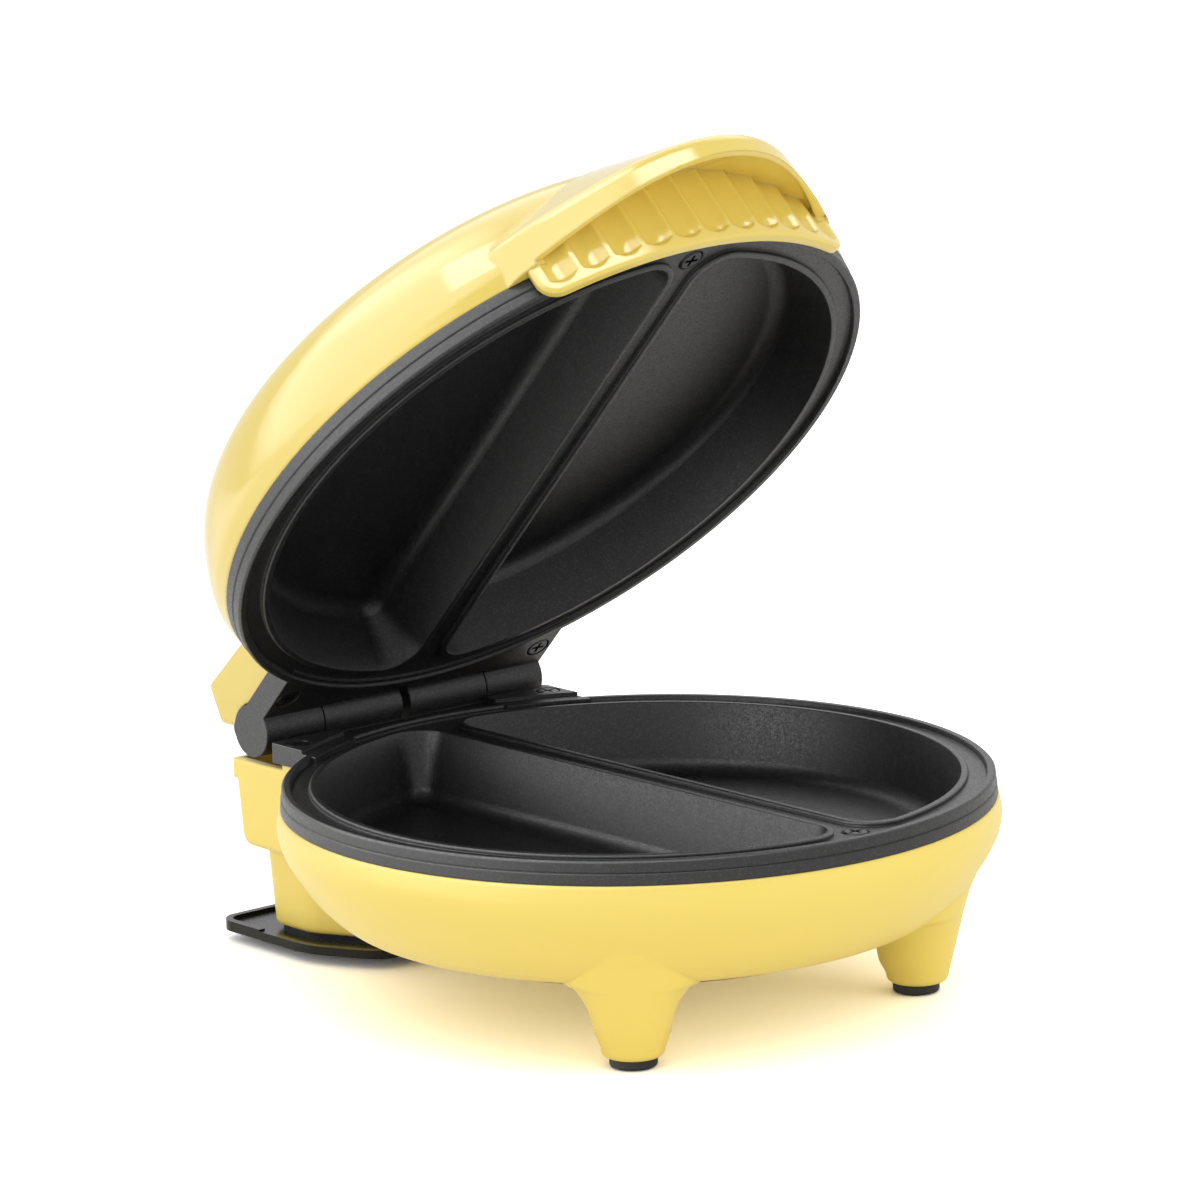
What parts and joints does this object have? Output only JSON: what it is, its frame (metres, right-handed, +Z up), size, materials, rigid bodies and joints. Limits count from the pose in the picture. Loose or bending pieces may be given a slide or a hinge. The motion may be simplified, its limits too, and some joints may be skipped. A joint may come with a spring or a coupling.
{
  "type": "omelette maker",
  "caption": "Small round electric omelette maker with a yellow moulded base and hinged lid, half-round non-stick wells in both plates, a fluted front grip and a rear cord-wrap stand.",
  "frame": {"origin": "on the table plane, under the middle of the overall box of the open machine", "axes": "+Z up, -Y towards the user at the front grip, +Y towards the hinge and cord stand, X along the hinge pin"},
  "size_m": [0.191, 0.2202, 0.2308],
  "materials": {
    "yellow_shell": "injection-moulded, gloss",
    "nonstick": "die-cast aluminium with black non-stick coating",
    "black_screw": "black oxide",
    "pin_steel": "ground steel",
    "heater_steel": "drawn tube",
    "zinc_steel": "zinc-plated",
    "shield_aluminium": "rolled sheet",
    "fuse_metal": "plated",
    "white_plastic": "moulded",
    "gland_rubber": "moulded",
    "stand_plastic": "moulded, fine texture",
    "pad_rubber": "moulded",
    "board_plastic": "laminate",
    "red_lens": "clear tinted",
    "green_lens": "clear tinted"
  },
  "bodies": {
    "base": {"base_shell": "yellow_shell", "lower_plate": "nonstick", "lower_plate_screws": "black_screw", "hinge_pin": "pin_steel", "lower_element": "heater_steel", "lower_clamp": "zinc_steel", "lower_clamp_screw": "zinc_steel", "lower_shield": "shield_aluminium", "thermostat": "zinc_steel", "thermal_fuse": "fuse_metal", "terminal_block": "white_plastic", "cord_gland": "gland_rubber", "cord_stand": "stand_plastic", "stand_screws": "black_screw", "foot_pad_left": "pad_rubber", "foot_pad_right": "pad_rubber", "rear_pad_left": "pad_rubber", "rear_pad_right": "pad_rubber"},
    "lid": {"lid_shell": "yellow_shell", "upper_plate": "nonstick", "upper_plate_screws": "black_screw", "upper_element": "heater_steel", "upper_clamp": "zinc_steel", "upper_clamp_screw": "zinc_steel", "upper_shield": "shield_aluminium", "lamp_board": "board_plastic", "power_lens": "red_lens", "ready_lens": "green_lens"}
  },
  "joints": [
    {"name": "lid_hinge", "type": "hinge", "parent": "base", "child": "lid", "pos_m": [0, 0.08975, 0.06156], "axis": [-1, 0, 0], "range_deg": [-46.5, 31.5]}
  ]
}
